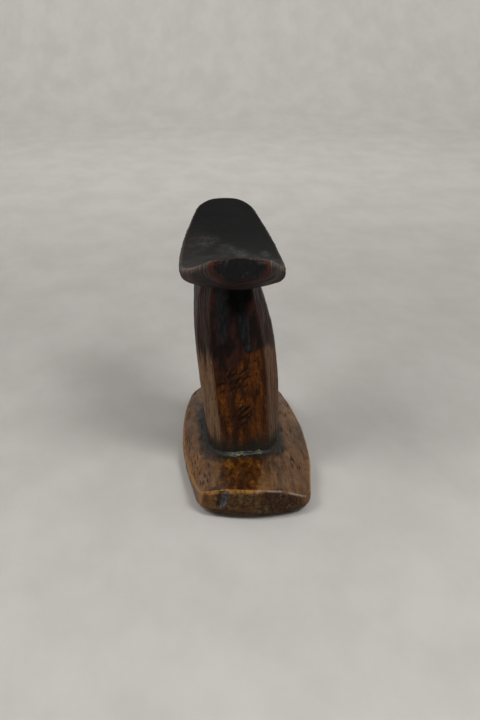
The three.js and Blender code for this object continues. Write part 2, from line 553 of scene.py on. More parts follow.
@dataclass(frozen=True)
class WaxedWood:
    """The base's finish: brown wood with amber edges, dark pores and a dull wax."""

    dark: Colour = (0.042, 0.018, 0.007)
    middle: Colour = (0.160, 0.069, 0.020)
    pale: Colour = (0.275, 0.136, 0.042)
    pink: Colour = (0.140, 0.058, 0.021)
    edge: Colour = (0.330, 0.150, 0.032)
    umber: Colour = (0.022, 0.007, 0.0015)
    amber: Colour = (0.078, 0.025, 0.0025)
    gold: Colour = (0.210, 0.083, 0.007)
    pore: Colour = (0.010, 0.006, 0.004)
    darkening: Colour = (0.012, 0.012, 0.010)
    crust: Colour = (0.015, 0.0055, 0.0018)
    bark: Colour = (0.062, 0.023, 0.0055)
    olive: Colour = (0.088, 0.055, 0.022)
    glint: Colour = (0.130, 0.140, 0.160)
    painted_edge_highlight: Colour = (0.320, 0.250, 0.205)

    def material(self) -> bpy.types.Material:
        """Builds the material.

        Returns:
            The material.
        """
        g = Graph("waxed_wood")
        rim, post_reflection, darkening = (g.mark(n) for n in ("rim", "post_reflection", "darkening"))
        end, chip, facet_glint, gloss_and_highlight = (g.mark(n) for n in ("end_grain", "chip", "facet_glint", "gloss_and_highlight"))
        cloud = g.noise((0.050, 0.016, 0.020), 5.0, 0.62)
        streak = g.noise((0.030, 0.0040, 0.010), 5.0, 0.6, at=3.1)
        colour = g.mix(g.step(cloud, 0.34, 0.60), self.dark, self.middle)
        colour = g.mix(g.step(streak, 0.38, 0.74) * 0.65, colour, self.pale)
        tint = g.noise((0.060, 0.030, 0.040), 3.0, 0.5, at=6.4)
        colour = g.mix(g.step(tint, 0.45, 0.62) * 0.5, colour, self.pink)
        mottle = g.noise((0.0040, 0.0019, 0.004), 4.0, 0.75, at=2.6)
        colour = g.mix(g.step(mottle, 0.50, 0.62) * 0.55, colour, self.dark)
        ring = g.rings("X", 0.016, 7.0, (0.0, 12.0, 8.0))
        colour = g.mix(g.step(ring, 0.94, 0.995) * 0.30, colour, self.dark)
        pores = g.step(g.noise((0.0105, 0.0011, 0.008), 2.0, 0.5, at=1.3), 0.56, 0.64)
        thick = g.step(g.noise((0.026, 0.010, 0.012), 3.0, 0.6, at=5.5), 0.44, 0.58)
        pores = pores * thick * (1.0 - end) * (1.0 - post_reflection * 0.6)
        colour = g.mix(pores * 0.85, colour, self.pore)
        speckle = g.step(g.noise((0.0020, 0.0009, 0.002), 3.0, 0.7, at=6.9), 0.52, 0.64)
        colour = g.mix(speckle * 0.45, colour, self.dark)
        # Amber patch in front of the post: painted reflection of the dark post in the wax, with no
        # pale sheen there.
        swirl = g.noise((0.012, 0.0050, 0.008), 6.0, 0.78, distortion=0.5, at=7.7)
        gold = g.mix(g.step(swirl, 0.40, 0.56), self.umber, self.amber)
        gold = g.mix(g.step(swirl, 0.54, 0.65), gold, self.gold)
        colour = g.mix(post_reflection, colour, gold)
        rough_end = g.noise((0.0024, 0.0024, 0.0018), 5.0, 0.75, at=9.0)
        stain = g.noise((0.014, 0.014, 0.009), 4.0, 0.6, at=8.1)
        bark = g.mix(g.step(rough_end, 0.44, 0.58), self.crust, self.bark)
        bark = g.mix(g.step(stain, 0.46, 0.60) * g.step(rough_end, 0.46, 0.60), bark, self.olive)
        bark = g.mix(g.step(stain, 0.50, 0.36) * 0.55, bark, self.umber)
        colour = g.mix(end, colour, bark)
        scuff = g.step(g.noise((0.006, 0.0022, 0.004), 4.0, 0.65, at=4.9), 0.38, 0.55)
        colour = g.mix(rim * (0.35 + scuff * 0.55), colour, self.edge)
        # Painted highlight: a pale, ragged line on the near end's top edge; the same mark also
        # lowers roughness and adds wax.
        colour = g.mix(gloss_and_highlight * 0.6, colour, self.painted_edge_highlight)
        # Darker in a ring round the post's foot on the base, and in the knocked-out notch.
        colour = g.mix(darkening, colour, self.darkening)
        colour = g.mix(chip * 0.65, colour, self.darkening)
        # Painted reflection: a blue-grey glint on the notch's slanting facet.
        colour = g.mix(facet_glint * g.step(mottle, 0.40, 0.6) * 0.6, colour, self.glint)
        fine = g.noise((0.0100, 0.0006, 0.005), 3.0, 0.6, at=2.2)
        blotch = g.noise((0.012, 0.008, 0.008), 4.0, 0.6, at=4.4)
        roughness = 0.36 + g.step(blotch, 0.35, 0.70) * 0.16 + darkening * 0.10 + end * 0.04
        roughness = roughness + pores * 0.25 - chip * 0.2
        height = 0.5 + fine * 0.25 - pores * 0.8 + end * rough_end * 2.2 - mottle * 0.25
        return g.close(colour, roughness - gloss_and_highlight * 0.12, height, 0.0004, gloss_and_highlight * 0.9, 0.18)


@dataclass(frozen=True)
class PostWood:
    """The post's finish: amber at the foot and nearly black at the neck, with upright streaks.

    Part of the black at the neck is painted shade under the pillow.
    """

    brown: Colour = (0.027, 0.008, 0.0022)
    amber: Colour = (0.082, 0.023, 0.0022)
    gold: Colour = (0.165, 0.052, 0.0042)
    flank: Colour = (0.148, 0.072, 0.031)
    pale: Colour = (0.230, 0.140, 0.080)
    neck: Colour = (0.0065, 0.0030, 0.0022)
    red: Colour = (0.036, 0.0115, 0.0080)
    nick: Colour = (0.004, 0.003, 0.002)
    darkening: Colour = (0.012, 0.012, 0.009)
    tar: Colour = (0.0058, 0.0060, 0.0072)
    tar_highlight: Colour = (0.0190, 0.0200, 0.0240)
    hollow_shadow: Colour = (0.0006, 0.0005, 0.0004)

    def material(self) -> bpy.types.Material:
        """Builds the material.

        Returns:
            The material.
        """
        g = Graph("post_wood")
        neck, front, nick, tar = (g.mark(n) for n in ("neck", "front", "nick", "tar"))
        edge, darkening, hollow_shadow, scratch = (g.mark(n) for n in ("rim", "darkening", "hollow_shadow", "scratch"))
        streak = g.noise((0.0016, 0.0016, 0.030), 4.0, 0.6, at=1.7)
        cloud = g.noise((0.007, 0.006, 0.017), 5.0, 0.65, at=6.1)
        amber = g.mix(g.step(cloud, 0.42, 0.58), self.brown, self.amber)
        flecks = g.noise((0.0018, 0.0018, 0.0030), 3.0, 0.7, at=3.6)
        amber = g.mix(g.step(cloud, 0.50, 0.66) * g.step(flecks, 0.42, 0.62), amber, self.gold)
        grain = g.noise((0.0010, 0.0010, 0.0018), 3.0, 0.7, at=7.4)
        amber = g.mix(g.step(grain, 0.50, 0.60) * 0.55, amber, self.brown)
        # Painted sheen: the flanks are paler and greyer than the front facet, as the pale backdrop
        # mirrored at grazing angles.
        flank = g.mix(g.step(cloud, 0.34, 0.66) * 0.55, self.flank, self.pale)
        # Painted shade: the flank that faces +Y is darker.
        flank = g.mix(g.mark("shaded_flank") * 0.52, flank, self.brown)
        colour = g.mix(front, flank, amber)
        colour = g.mix(g.step(streak, 0.50, 0.72) * (0.85 - front * 0.25), colour, self.brown)
        pale = g.step(g.noise((0.0012, 0.0012, 0.040), 3.0, 0.6, at=8.3), 0.56, 0.72)
        colour = g.mix(pale * (1.0 - front) * 0.7, colour, self.pale)
        dashes = g.step(g.noise((0.0010, 0.0010, 0.0036), 3.0, 0.6, at=4.9), 0.57, 0.66)
        colour = g.mix(dashes * 0.8, colour, self.nick)
        # Towards the neck the wood goes nearly black: partly darker wood, partly painted shade
        # under the pillow's overhang.
        soot = g.noise((0.0030, 0.0030, 0.050), 5.0, 0.65, at=2.9)
        shade = neck + (soot - 0.5) * (1.5 - front * 0.4)
        dark = g.mix(g.step(cloud, 0.42, 0.60) * 0.9, self.neck, self.red)
        dark = g.mix(pale * (1.0 - front) * 0.32, dark, self.flank)
        colour = g.mix(g.step(shade, 0.24, 0.76), colour, dark)
        colour = g.mix(edge * 0.30, colour, self.red)
        slant = g.noise((0.0040, 0.0007, 0.0060), 2.0, 0.6, turn=(48.0, 0.0, 0.0), at=5.2)
        cuts = scratch * g.step(slant, 0.56, 0.63)
        colour = g.mix(darkening, colour, self.darkening)
        colour = g.mix(g.math(Op.MAXIMUM, nick, cuts * 0.9), colour, self.nick)
        # The resin runs: dark, with a lighter blue-grey painted highlight along streaks.
        colour = g.mix(tar * 0.96, colour, g.mix(g.step(streak, 0.46, 0.64), self.tar, self.tar_highlight))
        # Painted shadow: the hollow under the pillow's near end is made nearly black.
        colour = g.mix(hollow_shadow, colour, self.hollow_shadow)
        fine = g.noise((0.0006, 0.0006, 0.012), 3.0, 0.6, at=0.4)
        roughness = 0.36 + g.step(cloud, 0.30, 0.70) * 0.14 + darkening * 0.2 + nick * 0.3
        roughness = roughness + hollow_shadow * 0.4 - tar * 0.06
        height = 0.5 + (fine * 0.5 + streak * 0.7) * (1.0 - tar * 0.7) - dashes * 0.6 - cuts * 1.2
        return g.close(colour, roughness, height, 0.00035, sheen=0.10)


@dataclass(frozen=True)
class BlackPatina:
    """The pillow's finish: a handled black seat, brown sides and worn red-brown edges."""

    black: Colour = (0.0028, 0.0029, 0.0031)
    soot: Colour = (0.0070, 0.0071, 0.0076)
    haze: Colour = (0.030, 0.031, 0.032)
    brown: Colour = (0.082, 0.062, 0.050)
    pale: Colour = (0.260, 0.205, 0.172)
    lip: Colour = (0.190, 0.135, 0.105)
    red: Colour = (0.115, 0.029, 0.009)
    maroon: Colour = (0.034, 0.008, 0.004)
    char: Colour = (0.0050, 0.0051, 0.0062)
    pale_blue_grey: Colour = (0.070, 0.076, 0.092)
    dust: Colour = (0.300, 0.295, 0.290)

    def material(self) -> bpy.types.Material:
        """Builds the material.

        Returns:
            The material.
        """
        g = Graph("black_patina")
        side, rim, ring, char = (g.mark(n) for n in ("side", "rim", "ring", "char"))
        under, specks_and_sheen, rubbed, oval_highlight_and_spot = (g.mark(n) for n in ("under", "specks_and_sheen", "rubbed", "oval_highlight_and_spot"))
        cloud = g.noise((0.030, 0.018, 0.018), 5.0, 0.6, at=1.0)
        seat = g.mix(g.step(cloud, 0.35, 0.65), self.black, self.soot)
        lines = g.rings("X", 0.0050, 6.0, (0.0, 0.0, 14.0))
        seat = g.mix(g.step(lines, 0.45, 0.95) * rubbed * 0.35, seat, self.brown)
        veins = g.noise((0.0018, 0.034, 0.005), 4.0, 0.6, distortion=0.6, at=5.0)
        veins = g.step(veins, 0.52, 0.70)
        seat = g.mix(veins * (0.10 + rubbed * 0.45), seat, g.mix(rubbed, self.haze, self.brown))
        # Painted sheen: the seat turns a lighter grey towards the near end.
        seat = g.mix(g.mark("near_end_sheen") * g.step(cloud, 0.25, 0.60) * 0.55, seat, self.haze)
        scuffs = g.step(g.noise((0.0060, 0.0080, 0.006), 5.0, 0.7, at=4.2), 0.44, 0.64)
        # Pale scuffs on the seat, with a painted glint and painted sheen near the crest.
        seat = g.mix(scuffs * specks_and_sheen * 0.14, seat, self.dust)
        line = g.mark("around") * (AROUND_SPAN / HATCH_WIDTH)
        upright = g.node("ShaderNodeCombineXYZ", inputs={0: line, 1: cloud * 2.0})
        hatching = {"Vector": upright, "Scale": 1.0, "Detail": 3.0}
        hatch = g.node("ShaderNodeTexNoise", inputs=hatching)
        flank = g.mix(g.step(hatch, 0.36, 0.56), self.soot, self.brown)
        flank = g.mix(g.step(hatch, 0.51, 0.66) * 0.8, flank, self.pale)
        colour = g.mix(side, seat, flank)
        patch = g.step(g.noise((0.016, 0.012, 0.010), 4.0, 0.6, at=3.3), 0.42, 0.58)
        colour = g.mix(under * 0.85, colour, g.mix(patch, self.black, self.maroon))
        wear = rim * g.step(g.noise((0.014, 0.010, 0.010), 4.0, 0.65, at=6.6), 0.34, 0.56)
        colour = g.mix(wear * 0.8, colour, self.lip)
        blush = g.step(g.noise((0.005, 0.005, 0.005), 4.0, 0.65, at=5.8), 0.42, 0.62)
        bright = g.step(ring, 0.55, 0.95) * blush * (1.0 - under * 0.8)
        colour = g.mix(ring, colour, g.mix(bright, self.maroon, self.red))
        colour = g.mix(g.mark("soaked") * 0.92, colour, g.mix(patch * 0.5, self.black, self.maroon))
        pits = g.noise((0.0035, 0.0035, 0.0035), 4.0, 0.6, at=9.9)
        colour = g.mix(char, colour, self.char)
        # Painted highlight on the oval's upper edges, and a pale spot on it.
        colour = g.mix(oval_highlight_and_spot * g.step(pits, 0.50, 0.60) * 0.75, colour, self.pale_blue_grey)
        dots = g.step(g.noise((0.0016, 0.0010, 0.0012), 3.0, 0.6, at=4.7), 0.60, 0.72)
        colour = g.mix(specks_and_sheen * dots * 0.6, colour, self.dust)
        fine = g.noise((0.0007, 0.012, 0.0007), 3.0, 0.6, at=7.0)
        roughness = 0.58 + g.step(cloud, 0.30, 0.70) * 0.14 - char * 0.26 - specks_and_sheen * 0.12
        height = 0.5 + fine * (1.0 - g.math(Op.MAXIMUM, side, under)) * 0.30
        height = height + side * hatch * (1.0 - char) * 1.2 + char * pits * 2.4 - veins * 0.15
        return g.close(colour, roughness, height, 0.0003, sheen=0.16)


@dataclass(frozen=True)
class Packing:
    """The finish of the packing at the foot: pale dry fibre in dark grime."""

    name: str = "packing"
    darkening: Colour = (0.014, 0.014, 0.012)
    fibre: Colour = (0.30, 0.29, 0.19)
    moss: Colour = (0.07, 0.075, 0.05)

    def material(self) -> bpy.types.Material:
        """Builds the material.

        Returns:
            The material.
        """
        g = Graph(self.name)
        bare = g.mark("bare")
        thread = g.noise((0.0012, 0.006, 0.0010), 4.0, 0.65, at=2.0)
        pale = g.mix(g.step(thread, 0.48, 0.62), self.moss, self.fibre)
        colour = g.mix(bare, self.darkening, pale)
        return g.close(colour, 0.75, thread, 0.0004)


@dataclass(frozen=True)
class StudioFloor:
    """The finish of the plain pale floor."""

    pale: Colour = (0.62, 0.60, 0.57)
    deep: Colour = (0.56, 0.54, 0.51)

    def material(self) -> bpy.types.Material:
        """Builds the material.

        Returns:
            The material.
        """
        g = Graph("studio_floor")
        cloud = g.noise((0.10, 0.06, 0.10), 6.0, 0.6)
        colour = g.mix(g.step(cloud, 0.30, 0.70), self.deep, self.pale)
        return g.close(colour, 0.7, cloud, 0.0002)


# ---------------------------------------------------------------- the two slabs


@dataclass
class Slab:
    """A carved slab with bowed sides and ends between two curved faces. Lengths are in metres."""

    length: float
    width: float
    end_width: float
    end_bow: float
    corner_round: float
    far_corner_round: float
    upper_round: float
    side_round: float
    end_round: float
    flare: float
    cuts: tuple[int, int, int]
    wall_share: float = 0.5

    def top(self, x: Array, y: Array) -> Array:
        """The height of the top at points measured from the slab's own middle."""
        raise NotImplementedError

    def underside(self, x: Array, y: Array) -> Array:
        """The height of the underside at points measured from the slab's own middle."""
        raise NotImplementedError

    def half_width(self, x: Array) -> Array:
        """Half the width at a distance along the slab."""
        along = np.clip(1.0 - (x / (self.length / 2)) ** 2, 0.0, 1.0)
        return lerp(self.end_width, self.width, along) / 2

    def shaped(self, grid: Array) -> Array:
        """Turns the points of a block from -1 to 1 into points of the slab.

        Args:
            grid: the block's points.

        Returns:
            The slab's points, measured from its own middle and the ground.
        """
        along, across, up = grid.T
        along, across = (
            np.sin(each * math.pi / 2) * GRID_BUNCHING + each * (1.0 - GRID_BUNCHING)
            for each in (along, across)
        )
        half_x = self.length / 2
        half_y = self.half_width(along * half_x)
        rounded = lerp(self.far_corner_round, self.corner_round, ease(-0.3, 0.3, along))
        past_x = rounded - (1.0 - abs(along)) * half_x
        past_y = rounded - (1.0 - abs(across)) * half_y
        out_x, out_y = np.clip(past_x, 0.0, None), np.clip(past_y, 0.0, None)
        edge = np.maximum(out_x, out_y)
        size = np.maximum(np.hypot(out_x, out_y), 1e-9)
        pull = np.where((out_x > 0.0) & (out_y > 0.0), edge / size, 1.0)
        band = self.wall_share
        above = np.clip((up - band) / (1.0 - band), 0.0, 1.0) * math.pi / 2
        below = np.clip((-up - band) / (1.0 - band), 0.0, 1.0) * math.pi / 2
        lower_round = lerp(self.side_round, self.end_round, (out_x / size) ** 2)
        inset = self.upper_round * (1.0 - np.cos(above)) + lower_round * (1.0 - np.cos(below))
        inset = (inset - self.flare * (0.5 - up / 2) * (out_x / size) ** 2) * edge / rounded
        reach_x = half_x - rounded + past_x * pull - inset * out_x / size
        reach_y = half_y - rounded + past_y * pull - inset * out_y / size
        x = np.sign(along) * (reach_x - self.end_bow * abs(along) * (reach_y / half_y) ** 2)
        y = np.sign(across) * (reach_y + abs(across) * (self.half_width(reach_x) - half_y))
        high = self.top(x, y) - self.upper_round * (1.0 - np.sin(above))
        low = self.underside(x, y) + lower_round * (1.0 - np.sin(below))
        z = lerp(low, high, np.clip((up / band + 1.0) / 2, 0.0, 1.0))
        return np.stack([x, y, z], axis=1)


@dataclass
class Base(Slab):
    """The domed base, with its worn edges and chipped near end.

    Each row of patch is a place along the base, and the left and right edges there, in
    millimetres, of the amber patch in front of the post: a painted reflection of the dark post.
    """

    edge_height: float = 8.5 * MM
    crown: float = 10.0 * MM
    swell: float = 3.0 * MM
    crown_sharpness: float = 2.6
    near_start: float = 60 * MM
    rise_start: float = 75 * MM
    near_end: float = 104 * MM
    near_shift: float = 5.0 * MM
    near_reach: float = 6.2 * MM
    near_rise: float = 1.9 * MM
    end_lift: float = 4.0 * MM
    chip_span: tuple[float, float, float] = (-27.4 * MM, -25.6 * MM, -20.0 * MM)
    chip_depth: float = 2.4 * MM
    chip_direction: tuple[float, float, float] = (0.92, -0.12, 0.38)
    facet_edge: float = -24.6 * MM
    patch: tuple[Row, ...] = (
        (52, -19.0, 9.0),
        (76, -22.5, 6.5),
        (97, -27.0, 4.5),
        (106, -40.0, 2.0),
    )

    @classmethod
    def from_frame(cls) -> "Base":
        """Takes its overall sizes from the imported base.

        Returns:
            The base.
        """
        low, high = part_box("base")
        return cls(
            length=high.x - low.x - 1.5 * MM,
            width=high.y - low.y,
            end_width=74 * MM,
            end_bow=10 * MM,
            corner_round=7 * MM,
            far_corner_round=6 * MM,
            upper_round=0.9 * MM,
            side_round=4.4 * MM,
            end_round=2.6 * MM,
            flare=3.8 * MM,
            cuts=(280, 118, 22),
        )

    def top(self, x: Array, y: Array) -> Array:
        """The dome's height. Towards the near end its ridge lies left of the middle.

        Args:
            x: places along the base.
            y: places across it.

        Returns:
            The height at each place.
        """
        along = np.clip(1.0 - (x / (self.length / 2)) ** 2, 0.0, 1.0)
        off = y + self.near_shift * ease(self.near_start, self.near_end, x)
        across = np.clip(1.0 - (abs(off) / self.half_width(x)) ** self.crown_sharpness, 0.0, 1.0)
        rise = self.near_rise * ease(self.rise_start, self.near_end, x)
        return self.edge_height + rise + (self.crown + self.swell * along) * across

    def underside(self, x: Array, y: Array) -> Array:
        """The flat underside, which stands on the ground and rises a little at both ends."""
        return self.end_lift * ease(24 * MM, 6 * MM, self.length / 2 - abs(x))

    def build(self, finish: WaxedWood) -> bpy.types.Object:
        """Carves the base.

        Args:
            finish: its wood.

        Returns:
            The piece.
        """
        carving = Carving("carved_base", gridded_block(self.cuts))
        grid = carving.points.copy()
        shaped = self.shaped(grid)
        shaped[:, 0] += self.near_reach * ease(self.near_start, self.near_end, shaped[:, 0])
        carving.place(shaped)
        points, facing = carving.points, carving.normals()
        x, y, z = points.T
        reach = np.maximum(abs(grid[:, 0]), abs(grid[:, 1]))
        off_floor = ease(0.0, 2.0 * MM, z)
        end = ease(0.55, 0.9, abs(facing[:, 0])) * ease(0.0, 0.02, abs(x) - 0.080)
        wide = 0.008 + 0.016 * ease(0.0, -0.02, y) + 0.006 * drift(points, 14, 2)
        wide -= 0.012 * ease(0.0, 0.01, y) * ease(0.09, 0.10, x)
        corner = ease(0.90, 0.97, grid[:, 0]) * ease(-0.93, -0.985, grid[:, 1])
        corner *= ease(-0.8, -0.2, grid[:, 2])
        rim = ease(0.0, 1.0, (reach - 1.0 + wide) / 0.008) * ease(0.10, 0.35, facing[:, 2])
        rim = np.maximum(rim, 0.8 * corner)
        lumps = drift(points, (22, 9, 9), 3) * 0.30 + drift(points, 4.5, 4) * 0.08
        grain = drift(points, (30, 2.6, 9), 5) * 0.08
        crust = drift(points, 3.2, 6) * 0.45 + drift(points, 1.5, 7) * 0.25
        bites = -1.2 * ease(0.45, 0.8, drift(points, (5, 4, 5), 8)) * rim
        depth = lumps + grain + end * crust * ease(1.0, 0.8, grid[:, 2]) + bites
        carving.push(depth * MM * off_floor)
        chipped = self.chip(carving.points) * ease(0.15, 0.60, facing[:, 0])
        carving.place(carving.points - np.array(self.chip_direction) * chipped[:, None])
        # The near end's top edge, right of the middle: glossier, and painted with a pale highlight
        # line.
        edge = ease(0.994, 1.0, grid[:, 0]) * ease(0.60, 0.80, grid[:, 2])
        edge *= ease(-4 * MM, 2 * MM, y)
        ragged = drift(points, (9, 5, 9), 15) + 0.6 * drift(points, 1.6, 16)
        past_deepest = ease(self.chip_span[1], self.facet_edge, y - self.slant(z))
        carving.mark(
            rim=rim,
            end_grain=end,
            post_reflection=self.post_reflection(points),
            darkening=self.darkening(points),
            gloss_and_highlight=edge * ease(-0.6, 0.3, ragged),
            chip=ease(0.02, 0.2, chipped / self.chip_depth),
            facet_glint=ease(0.05, 0.2, chipped / self.chip_depth) * past_deepest,
        )
        return carving.finish(finish.material(), "waxed_brown_wood", "base")

    def slant(self, z: Array) -> Array:
        """How far the notch leans sideways at each height."""
        return 4.0 * MM * (z / (16 * MM)) - 2.0 * MM

    def chip(self, points: Array) -> Array:
        """How deep the notch is that was knocked out of the near end, at its left.

        Args:
            points: the carved points.

        Returns:
            A depth in metres for each point: steep on the left, with a slanting facet on the right.
        """
        x, y, z = points.T
        left, deepest, right = self.chip_span
        slant = self.slant(z) + 0.5 * MM * drift(points, 4, 14)
        rising = (y - slant - left) / (deepest - left)
        across = np.minimum(rising, (right + slant - y) / (right - deepest))
        return self.chip_depth * np.clip(across, 0.0, 1.0) * ease(7 * MM, 10 * MM, z) * (x > 0.0)

    def post_reflection(self, points: Array) -> Array:
        """How far each point lies in the amber patch in front of the post, a painted reflection
        of the dark post in the wax.

        Args:
            points: the base's points.

        Returns:
            A number from 0 to 1 for each point.
        """
        x, y, z = points.T
        at, left, right = np.array(self.patch).T * MM
        ragged = 2.2 * MM * drift(points, 7, 11) + 1.2 * MM * drift(points, 2.5, 13)
        inside = np.minimum(y - np.interp(x, at, left), np.interp(x, at, right) - y) + ragged
        return ease(-0.8 * MM, 1.6 * MM, inside) * ease(0.046, 0.050, x) * ease(0.004, 0.010, z)

    def darkening(self, points: Array) -> Array:
        """How much darker the top is made in the corner round the post.

        Args:
            points: the base's points.

        Returns:
            A number from 0 to 1 for each point.
        """
        low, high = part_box("foot_packing")
        x, y, z = points.T
        middle = (low + high) / 2
        half = (high - low) / 2
        along = abs((x - middle.x) / (half.x + 3 * MM))
        shape = (along**5 + abs((y - middle.y) / (half.y + 3 * MM)) ** 5) ** 0.2
        edge = shape + 0.05 * drift(points, 7, 12)
        return 0.85 * ease(1.14, 0.98, edge) * ease(0.012, 0.016, z)


@dataclass
class Pillow(Slab):
    """The saddle pillow, with its black seat, hatched sides and charred, ringed ends.

    Each row of speck_places is a middle (x, y), a half length and a half width in metres, and
    how strong the pale marks are there. The first three rows are pale scuffs, the fourth is a
    painted glint, and the last two are painted sheen near the seat's crest.
    """

    seat_height: float = 149.5 * MM
    rise: float = 24.9 * MM
    rise_sharpness: float = 1.55
    seat_softness: float = 9 * MM
    crown: float = 4.0 * MM
    rim_thickness: float = 10.5 * MM
    keel: float = 9.0 * MM
    end_keel: float = 4.5 * MM
    lean: float = -9.0 * MM
    side_thinning: float = 2.2 * MM
    char_half: tuple[float, float] = (16.2 * MM, 6.9 * MM)
    char_shift: float = -0.8 * MM
    char_drop: float = 7.6 * MM
    blister_at: tuple[float, float] = (-6 * MM, 12.4 * MM)
    blister_half: tuple[float, float] = (3.2 * MM, 2.6 * MM)
    speck_places: tuple[Row, ...] = (
        (-0.036, -0.024, 0.011, 0.009, 0.6),
        (-0.018, -0.011, 0.012, 0.009, 0.7),
        (-0.008, -0.002, 0.012, 0.007, 1.0),
        (-0.012, 0.0167, 0.007, 0.004, 1.0),
        (-0.004, -0.020, 0.006, 0.012, 0.5),
        (-0.002, 0.012, 0.008, 0.020, 0.4),
    )

    @classmethod
    def from_frame(cls) -> "Pillow":
        """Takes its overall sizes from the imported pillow.

        Returns:
            The pillow.
        """
        low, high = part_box("pillow")
        return cls(
            length=high.x - low.x,
            width=high.y - low.y,
            end_width=37.5 * MM,
            end_bow=3 * MM,
            corner_round=7.5 * MM,
            far_corner_round=11 * MM,
            upper_round=1.3 * MM,
            side_round=4.2 * MM,
            end_round=4.2 * MM,
            flare=0.0,
            cuts=(280, 112, 26),
            lean=(low.y + high.y) / 2,
        )

    def top(self, x: Array, y: Array) -> Array:
        """The seat's height."""
        along = (np.hypot(x, self.seat_softness) / (self.length / 2)) ** self.rise_sharpness
        return self.seat_height + self.rise * along - self.crown * (y / (self.width / 2)) ** 2

    def underside(self, x: Array, y: Array) -> Array:
        """The height of the keeled underside.

        Args:
            x: places along the pillow.
            y: places across it.

        Returns:
            The height at each place.
        """
        along = np.clip(1.0 - (x / (self.length / 2)) ** 2, 0.0, 1.0)
        across = np.clip(1.0 - (y / self.half_width(x)) ** 2, 0.0, 1.0)
        thin = self.side_thinning * (1.0 - across)
        keel = lerp(self.end_keel, self.keel, along) * across
        return self.top(x, y) - self.rim_thickness + thin - keel

    def build(self, finish: BlackPatina) -> bpy.types.Object:
        """Carves the pillow.

        Args:
            finish: its patina.

        Returns:
            The piece.
        """
        carving = Carving("carved_pillow", gridded_block(self.cuts))
        grid = carving.points.copy()
        carving.place(self.shaped(grid))
        points, facing = carving.points, carving.normals()
        up = grid[:, 2]
        reach = np.maximum(abs(grid[:, 0]), abs(grid[:, 1]))
        wall = ease(0.97, 0.995, reach)
        side = wall * ease(0.80, 0.45, abs(facing[:, 2]))
        rim = ease(0.950, 0.990, reach) * ease(0.20, 0.65, up)
        under = ease(-0.25, -0.6, facing[:, 2])
        around = self.around(grid, points)
        wall_line = np.stack([around, points[:, 0] * 0.0, points[:, 2]], axis=1)
        hatch = drift(wall_line, (1.4, 30, 14), 21) * 0.34
        lumps = drift(points, (26, 14, 14), 22) * 0.30
        knife = drift(points, (7, 7, 5), 23) * 0.35
        depth = lumps + side * (hatch + knife) + under * drift(points, 6, 24) * 0.4
        carving.push(depth * MM)
        char, ring = self.charred(points, facing)
        carving.push((drift(points, 3.0, 25) * 0.45 - 0.25) * MM * char)
        points = carving.points + np.array([0.0, self.lean, 0.0])
        carving.place(points)
        x, y, z = points.T
        over_oval = ease(20 * MM, 17 * MM, abs(y - self.lean)) * ease(0.080, 0.090, abs(x))
        blister_y, blister_z = self.blister_at
        blister = np.hypot(
            (y - blister_y) / self.blister_half[0],
            (z - self.seat_height - blister_z) / self.blister_half[1],
        )
        # Painted highlight: the upper part of each oval, off its middle line.
        shine = 0.85 * ease(-0.10, 0.45, up) * ease(0.0, 8 * MM, abs(y - self.lean + 3 * MM))
        carving.mark(
            side=side,
            around=0.5 + around / AROUND_SPAN,
            rim=rim * lerp(0.35, 1.0, ease(0.0, 0.06, x)) * (1.0 - over_oval * 0.85),
            under=np.maximum(under, side * ease(0.3, -0.6, up)),
            char=char,
            ring=ring,
            specks_and_sheen=self.specks_and_sheen(points),
            near_end_sheen=ease(-50 * MM, 50 * MM, x),
            rubbed=self.rubbed(points),
            oval_highlight_and_spot=char * np.maximum(ease(1.3, 0.4, blister), shine),
            soaked=self.soaked(points, facing),
        )
        return carving.finish(finish.material(), "black_patina_wood", "pillow")

    def around(self, grid: Array, points: Array) -> Array:
        """How far along its wall each point lies, so that hatching stands upright on it.

        Args:
            grid: the points of the block.
            points: the same points on the slab.

        Returns:
            A distance in metres, which jumps where the hatching may start anew.
        """
        along = abs(grid[:, 0]) * self.length / 2
        across = abs(grid[:, 1]) * self.width / 2
        on_end = abs(grid[:, 0]) >= abs(grid[:, 1])
        travelled = np.where(on_end, self.length / 2 - across, along - self.width / 2)
        return travelled + 0.03 * np.sign(points[:, 1])

    def charred(self, points: Array, facing: Array) -> tuple[Array, Array]:
        """Finds the black oval on each end and the worn ring round it.

        Args:
            points: the pillow's points, measured from its own middle.
            facing: their normals.

        Returns:
            How far each point is in the oval, and how far in the ring.
        """
        x, y, z = points.T
        middle = self.seat_height + self.rise - self.char_drop
        half_width, half_height = self.char_half
        y = y - self.char_shift
        wobble = 0.10 * drift(points, 6, 26)
        oval = np.sqrt((y / half_width) ** 2 + ((z - middle) / half_height) ** 2) + wobble
        outward = facing[:, 0] * np.sign(x)
        end = ease(0.086, 0.092, abs(x)) * ease(0.25, 0.6, outward)
        char = end * ease(1.06, 0.96, oval)
        wide = 1.03 + 0.15 * np.clip(abs(y) / half_width, 0.0, 1.0) ** 2
        wide += 0.10 * ease(middle, middle - half_height, z)
        ring = ease(0.080, 0.090, abs(x)) * ease(-0.1, 0.3, outward)
        ring *= ease(0.09, -0.05, oval - wide)
        return char, ring * (1.0 - char)

    def specks_and_sheen(self, points: Array) -> Array:
        """Where pale marks lie on the seat: scuffs, a painted glint and painted sheen.

        Args:
            points: the pillow's points.

        Returns:
            A number from 0 to 1 for each point.
        """
        x, y, _ = points.T
        near = [
            share * ease(1.3, 0.4, np.hypot((x - at_x) / half_length, (y - at_y) / half_width))
            for at_x, at_y, half_length, half_width, share in self.speck_places
        ]
        return np.max(near, axis=0)

